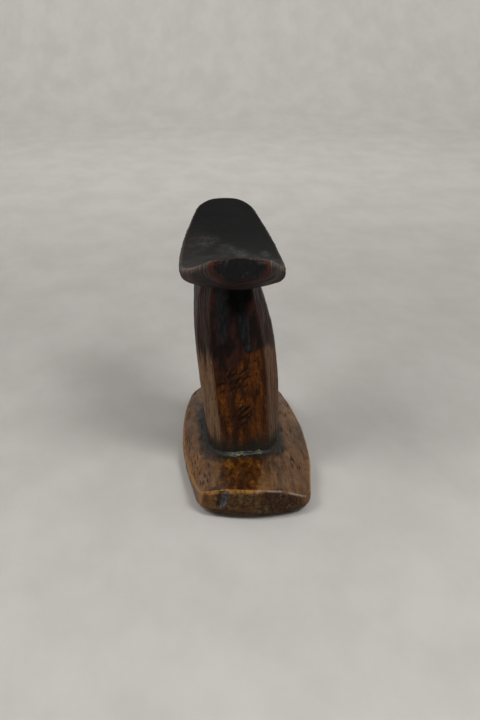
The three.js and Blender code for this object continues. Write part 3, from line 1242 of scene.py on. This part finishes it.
    def rubbed(self, points: Array) -> Array:
        """Where hands have rubbed the seat brown, along its left edge.

        Args:
            points: the pillow's points.

        Returns:
            A number from 0 to 1 for each point.
        """
        x, y, _ = points.T
        ragged = y + 5 * MM * drift(points, 14, 27)
        return ease(-18 * MM, -34 * MM, ragged) * ease(-70 * MM, -30 * MM, x)

    def soaked(self, points: Array, facing: Array) -> Array:
        """Where the wood under each oval is stained dark.

        Args:
            points: the pillow's points.
            facing: their normals.

        Returns:
            A number from 0 to 1 for each point.
        """
        x, y, z = points.T
        low = ease(0.0, -4 * MM, z - self.seat_height - self.rise + 11 * MM)
        low = low * ease(0.055, 0.075, abs(x)) * ease(0.3, -0.1, facing[:, 2])
        return low * ease(13 * MM, 7 * MM, abs(y - self.lean) + 3 * MM * drift(points, 3, 28))


# ---------------------------------------------------------------- the post


@dataclass(frozen=True)
class Run:
    """A dark run of old resin down the post's near face.

    Each station is a height, a middle and a half width in millimetres, from the tip upwards.
    """

    stations: tuple[Row, ...]
    lift: float
    soft: float
    fade: float

    def cover(self, y: Array, z: Array) -> Array:
        """How deep each point lies inside the run.

        Args:
            y: places across the post.
            z: their heights.

        Returns:
            0 at the run's edge and outside, and 1 on its middle line.
        """
        heights, middles, halves = np.array(self.stations).T * MM
        below_tip = np.clip(heights[0] + halves[0] - z, 0.0, None)
        off = np.hypot(y - np.interp(z, heights, middles), below_tip)
        return np.clip(1.0 - off / np.interp(z, heights, halves), 0.0, 1.0)


@dataclass(frozen=True)
class Nick:
    """A short knife nick on the near face, between two places, in millimetres."""

    start_y: float
    start_z: float
    end_y: float
    end_z: float
    half_width: float

    def cover(self, y: Array, z: Array) -> Array:
        """How deep each point lies in the nick, which narrows towards both ends.

        Args:
            y: places across the post.
            z: their heights.

        Returns:
            0 at the nick's edge and outside, and 1 on its middle line.
        """
        start = np.array([self.start_y, self.start_z]) * MM
        reach = np.array([self.end_y, self.end_z]) * MM - start
        off_y, off_z = y - start[0], z - start[1]
        share = np.clip((off_y * reach[0] + off_z * reach[1]) / (reach @ reach), 0.0, 1.0)
        off = np.hypot(off_y - share * reach[0], off_z - share * reach[1])
        half = self.half_width * MM * (1.15 - 0.6 * abs(2 * share - 1))
        return np.clip(1.0 - off / half, 0.0, 1.0)


@dataclass
class Post:
    """The bent, faceted post between the dome and the pillow's underside.

    Each corner is a share of the half width and of the half length. Each row of nicks is a
    Nick. Each row of scratched is a middle (y, z) and a reach in metres.
    """

    base: Base
    pillow: Pillow
    foot_width: float = 50 * MM
    belly_width: float = 57 * MM
    neck_width: float = 46 * MM
    belly_height: float = 84 * MM
    foot_length: float = 106 * MM
    waist_length: float = 90 * MM
    waist_height: float = 78 * MM
    neck_length: float = 106 * MM
    foot_lean: float = -3 * MM
    neck_lean: float = -12 * MM
    lean_sharpness: float = 1.6
    end_flare: float = 1.6
    sink: float = 0.8 * MM
    around: int = 400
    up: int = 200
    corners: tuple[Row, ...] = ((1.0, 0.28), (0.97, 0.60), (0.66, 0.94), (0.30, 1.0))
    runs: tuple[Run, ...] = (
        Run(
            ((97, -18.8, 3.6), (110, -18.6, 4.6), (142, -18.2, 5.0)),
            lift=1.0 * MM,
            soft=0.40,
            fade=12 * MM,
        ),
        Run(
            (
                (92.8, 0.4, 2.8),
                (98.0, -0.6, 3.1),
                (106.8, -3.0, 3.5),
                (123.4, -5.0, 4.1),
                (142, -8.0, 5.0),
            ),
            lift=1.4 * MM,
            soft=0.16,
            fade=1 * MM,
        ),
    )
    hollow_at: tuple[float, float] = (-7.0 * MM, 138 * MM)
    hollow_half: tuple[float, float] = (11.0 * MM, 20.0 * MM)
    drop_at: tuple[float, float] = (0.3 * MM, 96.3 * MM)
    hollow_depth: float = 3.2 * MM
    nick_depth: float = 0.6 * MM
    crack_at: tuple[float, float] = (-1.2 * MM, 100.3 * MM)
    nicks: tuple[Row, ...] = (
        (-15.5, 74.5, -11.0, 82.2, 0.6), (-14.1, 73.8, -12.7, 77.4, 0.8),
        (-7.1, 76.9, -0.9, 82.3, 0.6), (-21.8, 68.4, -17.3, 71.2, 0.9),
        (-9.2, 70.6, -6.1, 75.4, 0.9), (-12.8, 64.8, -9.2, 68.8, 0.7),
        (-5.1, 72.8, 1.9, 76.3, 0.55), (-11.5, 76.0, -8.5, 79.0, 0.6),
        (-8.5, 66.5, -5.5, 69.5, 0.7), (-13.5, 70.0, -11.0, 73.0, 0.7),
        (-3.0, 67.5, -0.5, 70.0, 0.6), (-16.2, 79.0, -14.1, 81.2, 0.7),
        (-7.9, 46.5, 0.2, 53.1, 1.0), (-6.1, 43.6, 0.6, 49.3, 0.9),
        (-4.3, 50.1, -0.1, 54.0, 0.8), (-9.0, 49.5, -3.6, 54.2, 0.8),
        (-8.2, 43.6, -4.2, 46.9, 0.8), (-2.0, 44.6, 1.6, 47.6, 0.7),
        (-6.0, 39.8, -2.4, 42.6, 0.7), (-9.4, 36.4, -6.8, 38.9, 0.6),
        (-14.9, 45.9, -13.5, 47.4, 0.8), (-11.4, 45.5, -10.3, 47.3, 0.7),
        (-6.5, 57.8, -3.6, 60.8, 0.45), (-19.8, 62.7, -18.3, 64.9, 0.6),
        (-2.2, 41.0, -0.8, 43.2, 0.6), (-16.4, 32.2, -15.0, 36.0, 0.5),
        (5.2, 62.0, 6.1, 66.5, 0.45), (3.0, 86.0, 5.6, 88.2, 0.45),
    )
    scratched: tuple[Row, ...] = (
        (-9 * MM, 73 * MM, 13 * MM),
        (-4 * MM, 49 * MM, 9 * MM),
        (-13 * MM, 43 * MM, 7 * MM),
    )
    foot_height: float = field(init=False)
    neck_height: float = field(init=False)

    def __post_init__(self) -> None:
        """Reads the heights of its two ends from its neighbours."""
        middle = np.zeros(1)
        self.foot_height = float(self.base.top(middle, middle)[0])
        self.neck_height = float(self.pillow.underside(middle, middle)[0])

    def bend(
        self, z: Array, foot: float, turn: float, neck: float, turn_height: float
    ) -> Array:
        """A size that bends from the foot, through its value at turn_height, to the neck.

        Args:
            z: the heights.
            foot: the size at the foot.
            turn: the size at turn_height.
            neck: the size at the neck.
            turn_height: where the bend turns.

        Returns:
            The size at each height.
        """
        below = z < turn_height
        reach = np.where(below, turn_height - self.foot_height, self.neck_height - turn_height)
        share = np.minimum(((z - turn_height) / reach) ** 2, self.end_flare)
        return lerp(turn, np.where(below, foot, neck), share)

    def outline(self) -> Array:
        """The faceted section with worn corners, as one point for each vertex of a ring.

        Returns:
            Points in shares of the half length and the half width, counter-clockwise from above.
        """
        quarter = [(along, across) for across, along in self.corners][::-1]
        half = quarter + [(-along, across) for along, across in quarter[::-1]]
        loop = np.array(half + [(-along, -across) for along, across in half])
        scale = np.array([self.waist_length, self.belly_width]) / 2
        path = np.vstack([loop, loop[:1]]) * scale
        travelled = np.concatenate([[0.0], np.cumsum(np.hypot(*np.diff(path, axis=0).T))])
        reading = np.linspace(0.0, travelled[-1], self.around, endpoint=False)
        ring = np.stack([np.interp(reading, travelled, path[:, i]) for i in (0, 1)], axis=1)
        for _ in range(3):
            ring = (np.roll(ring, 1, axis=0) + ring * 2 + np.roll(ring, -1, axis=0)) / 4
        return ring / scale

    def flanks(self, turn: Array, z: Array, grow: float = 0.0) -> tuple[Array, Array]:
        """Places on the post's flanks.

        Args:
            turn: how far round the section, as the number of a point of the outline.
            z: the heights.
            grow: how far outside the flanks.

        Returns:
            The x and the y of each place.
        """
        ring = self.outline()
        along, across = ring[turn.astype(int) % self.around].T
        lengths = self.foot_length, self.waist_length, self.neck_length
        widths = self.foot_width, self.belly_width, self.neck_width
        length = self.bend(z, *lengths, self.waist_height)
        width = self.bend(z, *widths, self.belly_height)
        up = np.clip((z - self.foot_height) / (self.neck_height - self.foot_height), 0.0, 1.0)
        lean = lerp(self.foot_lean, self.neck_lean, up**self.lean_sharpness)
        return along * (length / 2 + grow), across * (width / 2 + grow) + lean

    def build(self, finish: PostWood) -> bpy.types.Object:
        """Carves the post.

        Args:
            finish: its wood.

        Returns:
            The piece.
        """
        carving = Carving("carved_post", gridded_barrel(self.around, self.up))
        grid = carving.points.copy()
        turn = turn_number(grid, self.around)
        share = (grid[:, 2] + 1) / 2
        z = lerp(self.foot_height, self.neck_height, share)
        for _ in range(3):
            x, y = self.flanks(turn, z)
            low = self.base.top(x, y) - self.sink
            high = self.pillow.underside(x, y - self.pillow.lean) + self.sink
            z = lerp(low, high, share)
        carving.place(np.stack([x, y, z], axis=1))
        points, facing = carving.points, carving.normals()
        front = abs(facing[:, 0])
        near = ease(0.0, 0.02, x) * ease(0.5, 0.8, facing[:, 0])
        tar, lift = self.resin(points, near)
        # The hollow under the pillow: carved in, and painted nearly black as shadow.
        off_y, off_z = y - self.hollow_at[0], z - self.hollow_at[1]
        hollow_shadow = np.hypot(off_y / self.hollow_half[0], off_z / self.hollow_half[1])
        hollow_shadow = ease(1.1, 0.55, hollow_shadow + 0.12 * drift(points, 4, 38)) * near
        lift -= self.hollow_depth * hollow_shadow
        nick = self.nicked(points, near)
        groove = drift(points, (2.2, 2.2, 34), 31) * 0.35
        groove += drift(points, (0.9, 0.9, 16), 32) * 0.12
        knife = drift(points, (8, 8, 20), 33) * 0.45
        fine = drift(points, 3, 34) * 0.08
        flank = ease(0.95, 0.70, front)
        depth = groove * lerp(0.35, 1.0, flank) + knife + fine
        inside = ease(0.0, 0.03, share) * ease(1.0, 0.97, share)
        carving.push((depth * MM * (1 - tar * 0.8) + lift - nick * self.nick_depth) * inside)
        scratch = [
            ease(1.0, 0.3, np.hypot(y - at_y, z - at_z) / reach)
            for at_y, at_z, reach in self.scratched
        ]
        edges = self.edges(turn)
        over = z - self.base.top(x, y) + 2.5 * MM * drift(points, 5, 35)
        carving.mark(
            tar=tar,
            hollow_shadow=hollow_shadow,
            nick=ease(0.05, 0.45, nick),
            scratch=np.max(scratch, axis=0) * ease(0.5, 0.8, front),
            front=ease(0.80, 0.96, front),
            shaded_flank=ease(0.2, 0.7, facing[:, 1]),
            neck=self.neck_dark_and_shade(points),
            rim=edges,
            # Darker towards the post's foot, reaching higher at its corners.
            darkening=0.9 * ease(1.0, 0.25, over / lerp(14 * MM, 20 * MM, edges)),
        )
        return carving.finish(finish.material(), "amber_post_wood", "post")

    def resin(self, points: Array, near: Array) -> tuple[Array, Array]:
        """The runs of resin, with the bead at the tip of one and the crack across it.

        Args:
            points: the post's points.
            near: how far each lies on the near face.

        Returns:
            How dark each point is, and how far it stands up in metres.
        """
        _, y, z = points.T
        tar, lift = np.zeros(len(points)), np.zeros(len(points))
        for run in self.runs:
            cover = run.cover(y + 0.25 * MM * drift(points, 6, 37), z)
            fade = ease(0.0, run.fade, z - run.stations[0][0] * MM)
            tar = np.maximum(tar, ease(0.0, run.soft, cover) * near * fade)
            lift = np.maximum(lift, run.lift * ease(0.0, 0.7, cover) * near)
        drop = np.hypot(y - self.drop_at[0], z - self.drop_at[1])
        lift += 1.0 * MM * ease(2.6 * MM, 0.8 * MM, drop) * near
        off = y - self.crack_at[0]
        crack = ease(0.8 * MM, 0.2 * MM, abs(z - self.crack_at[1] - 0.35 * off))
        lift -= 1.0 * MM * crack * tar * ease(6 * MM, 4 * MM, abs(off))
        return tar, lift

    def nicked(self, points: Array, near: Array) -> Array:
        """The knife nicks on the near face, and their like on the far one.

        Args:
            points: the post's points.
            near: how far each lies on the near face.

        Returns:
            How deep each point lies in a nick, from 0 to 1.
        """
        x, y, z = points.T
        deepest = np.zeros(len(points))
        for row in self.nicks:
            nick = Nick(*row)
            deepest = np.maximum(deepest, nick.cover(y, z) * near)
            far = nick.cover(-y - 6 * MM, z + 4 * MM) * ease(0.0, -0.02, x)
            deepest = np.maximum(deepest, far)
        return deepest

    def edges(self, turn: Array) -> Array:
        """How near each point is to a corner between two facets.

        Args:
            turn: how far round the section each point lies.

        Returns:
            A number from 0 to 1 for each point.
        """
        ring = self.outline() * np.array([self.waist_length, self.belly_width]) / 2
        neighbours = np.roll(ring, 1, axis=0) + np.roll(ring, -1, axis=0)
        bend = np.linalg.norm(neighbours - 2 * ring, axis=1)
        return ease(0.2, 0.8, (bend / bend.max())[turn.astype(int) % self.around])

    def neck_dark_and_shade(self, points: Array) -> Array:
        """How dark the wood is made: nearly wholly at the neck, not at all at the foot. Partly
        darker wood, partly painted shade under the pillow's overhang.

        Args:
            points: the post's points.

        Returns:
            A number from 0 to 1 for each point.
        """
        _, y, z = points.T
        line = 80 * MM + 15 * MM * ease(-13 * MM, -2 * MM, y) + 8 * MM * ease(-20 * MM, -27 * MM, y)
        flank = ease(20 * MM, 27 * MM, abs(y + 8 * MM))
        spread = lerp(6.0 * MM, 16.0 * MM, ease(0.0, -12 * MM, y)) + 12 * MM * flank
        teeth = 4 * MM * (1.0 - flank) * drift(points, (5, 5, 16), 36)
        wave = 9 * MM * flank * drift(points, (26, 26, 40), 39)
        return ease(-1.0, 1.0, (z - line + teeth + wave) / spread)


@dataclass
class FootPacking:
    """The bead of grime and pale fibre in the corner between the post and the base."""

    post: Post
    height: float = 2.4 * MM
    width: float = 3.0 * MM
    sunk: float = 0.35 * MM
    around: int = 400
    section: int = 12
    section_radius: float = 0.25

    def build(self, finish: Packing) -> bpy.types.Object:
        """Lays the bead round the foot.

        Args:
            finish: its material.

        Returns:
            The piece.
        """
        shell = bmesh.new()
        bmesh.ops.create_circle(shell, segments=self.section, radius=self.section_radius)
        upright = Matrix.Rotation(math.pi / 2, 3, "X")
        bmesh.ops.rotate(shell, verts=shell.verts, cent=(0, 0, 0), matrix=upright)
        bmesh.ops.translate(shell, verts=shell.verts, vec=(1.0, 0.0, 0.0))
        spin_round(shell, self.around)
        carving = Carving("foot_bead", shell)
        grid = carving.points.copy()
        turn = turn_number(grid, self.around)
        out = (np.hypot(grid[:, 0], grid[:, 1]) - 1.0) / self.section_radius
        up = grid[:, 2] / self.section_radius
        foot = np.full(len(grid), self.post.foot_height)
        inner_x, inner_y = self.post.flanks(turn, foot)
        outer_x, outer_y = self.post.flanks(turn, foot, self.width)
        share = (out + 1) / 2 - 0.12
        x = lerp(inner_x, outer_x, share)
        y = lerp(inner_y, outer_y, share)
        uneven = 1.0 + 0.3 * drift(np.stack([x, y, x], axis=1), 6, 54)
        height = self.height * lerp(0.5, 1.0, ease(0.040, 0.048, x)) * uneven
        rise = height * (up + 1) / 2 * lerp(1.0, 0.35, share)
        z = self.post.base.top(x, y) + rise - self.sunk
        carving.place(np.stack([x, y, z], axis=1))
        points = carving.points
        rough = drift(points, (2.5, 5.0, 1.0), 51) * 0.45 + drift(points, 1.0, 52) * 0.20
        carving.push(rough * MM)
        near = ease(0.044, 0.050, x) * ease(0.017, 0.012, abs(y + 4 * MM))
        carving.mark(bare=near * ease(-0.35, 0.25, drift(points, (4, 6, 2), 53)))
        return carving.finish(finish.material(), "pale_packing", "foot_packing")


@dataclass
class LooseFibres:
    """Frayed strands of the packing, squeezed out along its near side.

    Each strand is where it starts and ends across the post, how far in front of the post it
    lies, and how far its middle stands off the base, in millimetres.
    """

    post: Post
    half_thickness: float = 0.34 * MM
    sides: int = 6
    steps: int = 18
    strands: tuple[Row, ...] = (
        (-18.5, -12.0, 3.0, 0.6),
        (-17.0, -7.0, 4.0, 0.2),
        (-12.5, -4.0, 2.0, 1.3),
        (-9.5, 1.0, 3.4, 0.3),
        (-3.5, 4.0, 1.4, 1.6),
        (-1.0, 8.0, 2.6, 0.5),
        (3.5, 9.0, 0.8, 2.2),
        (-15.0, -10.5, 5.0, 0.0),
    )

    def build(self, finish: Packing) -> bpy.types.Object:
        """Lays the strands.

        Args:
            finish: their material.

        Returns:
            The piece.
        """
        shell = gridded_barrel(self.sides, self.steps)
        straight = shell.verts[:] + shell.edges[:] + shell.faces[:]
        for start, end, out, bow in self.strands:
            copy = bmesh.ops.duplicate(shell, geom=straight)["geom"]
            self.lay(self.only_verts(copy), start, end, out, bow)
        bmesh.ops.delete(shell, geom=self.only_verts(straight), context="VERTS")
        bmesh.ops.recalc_face_normals(shell, faces=shell.faces)
        carving = Carving("loose_fibres", shell)
        carving.push(0.12 * MM * drift(carving.points, (0.8, 2.5, 0.8), 55))
        carving.mark(bare=np.ones(len(carving.points)))
        return carving.finish(finish.material(), "pale_packing", "foot_packing")

    @staticmethod
    def only_verts(geometry: Sequence[object]) -> list[bmesh.types.BMVert]:
        """The points among a bmesh's points, edges and faces."""
        return [each for each in geometry if isinstance(each, bmesh.types.BMVert)]

    def lay(
        self, verts: list[bmesh.types.BMVert], start: float, end: float, out: float, bow: float
    ) -> None:
        """Bends a straight strand along the post's foot.

        Args:
            verts: the points of a cylinder from -1 to 1 along Z.
            start: the place across the post where it begins.
            end: where it ends.
            out: how far in front of the post it lies.
            bow: how far its middle stands off the base.
        """
        grid = np.array([v.co[:] for v in verts])
        share = (grid[:, 2] + 1) / 2
        y = lerp(start, end, share) * MM
        thin = self.half_thickness * (0.35 + 0.65 * np.sin(math.pi * np.clip(share, 0.06, 0.94)))
        along_front = self.front(y) + (out + 0.5 * np.sin(share * 9.0 + start)) * MM
        x = along_front + grid[:, 0] * thin
        over = (0.25 + bow * np.sin(math.pi * share)) * MM
        z = self.post.base.top(along_front, y) + over + grid[:, 1] * thin
        for vert, place in zip(verts, np.stack([x, y, z], axis=1)):
            vert.co = place

    def front(self, y: Array) -> Array:
        """Where the post's near face stands at the foot.

        Args:
            y: places across the post.

        Returns:
            The place along the base at each of them.
        """
        turn = np.arange(-self.post.around // 8, self.post.around // 8 + 1)
        near_x, near_y = self.post.flanks(turn, np.full(len(turn), self.post.foot_height))
        order = np.argsort(near_y)
        return np.interp(y, near_y[order], near_x[order])


# ---------------------------------------------------------------- studio


@dataclass(frozen=True)
class SoftBox:
    """A rectangular area light. Lengths are in metres and power in watts."""

    name: str
    at: tuple[float, float, float]
    towards: tuple[float, float, float]
    size: tuple[float, float]
    power: float

    def build(self) -> None:
        """Hangs the light."""
        lamp = bpy.data.lights.new(self.name, "AREA")
        lamp.shape = "RECTANGLE"
        lamp.size, lamp.size_y = self.size
        lamp.energy = self.power
        holder = bpy.data.objects.new(self.name, lamp)
        holder.location = self.at
        aim = Vector(self.towards) - Vector(self.at)
        holder.rotation_euler = aim.to_track_quat("-Z", "Y").to_euler()
        holder.visible_camera = False
        bpy.context.scene.collection.objects.link(holder)


def wall_wash(turn: float, power: float) -> SoftBox:
    """A light above the floor that shines outwards on the wall.

    Args:
        turn: its direction from the middle in degrees, from +X towards +Y.
        power: its power in watts.

    Returns:
        The light.
    """
    x, y = math.cos(math.radians(turn)), math.sin(math.radians(turn))
    return SoftBox(f"wall_wash_{turn}", (x, y, 1.7), (2.8 * x, 2.8 * y, 0.9), (1.2, 1.2), power)


@dataclass(frozen=True)
class Studio:
    """The camera, the plain pale floor and soft light from above and both sides."""

    camera_at: tuple[float, float, float] = (0.7274, -0.0541, 0.3292)
    aim: tuple[float, float, float] = (-0.9408, 0.0660, -0.3325)
    lens: float = 52.25
    floor_radius: float = 2.0
    bend: float = 0.8
    wall_height: float = 2.6
    around: int = 96
    profile_steps: int = 40
    world_colour: Colour = (0.80, 0.80, 0.79)
    world_strength: float = 0.05
    boxes: tuple[SoftBox, ...] = (
        SoftBox("top_box", (0.0, 0.1, 1.7), (0.0, 0.0, 0.1), (1.5, 1.5), 3.7),
        SoftBox("right_box", (0.80, 0.62, 1.10), (0.0, 0.0, 0.08), (0.5, 0.5), 9.6),
        SoftBox("left_box", (0.40, -0.93, 1.07), (0.0, 0.0, 0.08), (0.6, 0.6), 6.8),
    )
    washes: tuple[SoftBox, ...] = (
        wall_wash(0, 9.0),
        wall_wash(90, 10.0),
        wall_wash(180, 24.0),
        wall_wash(270, 10.0),
    )

    def build(self) -> None:
        """Sets up the camera, the floor, the lights and the world."""
        scene = bpy.context.scene
        scene.view_settings.view_transform = "Standard"
        self.set_camera(scene)
        self.lay_floor(scene)
        for box in self.boxes + self.washes:
            box.build()
        world = bpy.data.worlds.new("studio_world")
        world.use_nodes = True
        background = world.node_tree.nodes["Background"].inputs
        background["Color"].default_value = (*self.world_colour, 1.0)
        background["Strength"].default_value = self.world_strength
        scene.world = world

    def set_camera(self, scene: bpy.types.Scene) -> None:
        """Makes the camera.

        Args:
            scene: the scene that looks through it.
        """
        lens = bpy.data.cameras.new("camera")
        lens.sensor_fit = "VERTICAL"
        lens.sensor_height = 36.0
        lens.lens = self.lens
        camera = bpy.data.objects.new("camera", lens)
        camera.location = self.camera_at
        camera.rotation_euler = Vector(self.aim).to_track_quat("-Z", "Y").to_euler()
        scene.collection.objects.link(camera)
        scene.camera = camera

    def lay_floor(self, scene: bpy.types.Scene) -> None:
        """Spins the floor and its wall into a round bowl.

        Args:
            scene: the scene that it's laid in.
        """
        shell = bmesh.new()
        steps = self.profile_steps
        line = [shell.verts.new(self.profile(i / steps)) for i in range(steps + 1)]
        for pair in zip(line, line[1:]):
            shell.edges.new(pair)
        spin_round(shell, self.around)
        bmesh.ops.reverse_faces(shell, faces=shell.faces)
        mesh = bpy.data.meshes.new("studio_bowl")
        shell.to_mesh(mesh)
        shell.free()
        mesh.polygons.foreach_set("use_smooth", [True] * len(mesh.polygons))
        mesh.materials.append(StudioFloor().material())
        floor = bpy.data.objects.new("studio_bowl", mesh)
        scene.collection.objects.link(floor)

    def profile(self, share: float) -> Vector:
        """A point on a radius of the floor, or of the wall that it curves up into.

        Args:
            share: from 0 at the middle of the floor to 1 at the top of the wall.

        Returns:
            The point.
        """
        travel = share * (self.floor_radius + self.bend * math.pi / 2 + self.wall_height)
        turned = min(max(travel - self.floor_radius, 0.0) / self.bend, math.pi / 2)
        up = max(travel - self.floor_radius - self.bend * math.pi / 2, 0.0)
        out = min(travel, self.floor_radius) + self.bend * math.sin(turned)
        return Vector((out, 0.0, self.bend * (1.0 - math.cos(turned)) + up))


def main() -> None:
    """Builds the studio and every piece in order."""
    logging.basicConfig(level=logging.INFO, format="%(name)s: %(message)s")
    Studio().build()
    base = Base.from_frame()
    pillow = Pillow.from_frame()
    post = Post(base, pillow)
    base.build(WaxedWood())
    post.build(PostWood())
    pillow.build(BlackPatina())
    FootPacking(post).build(Packing())
    LooseFibres(post).build(Packing("loose_fibre"))


if __name__ == "__main__":
    main()
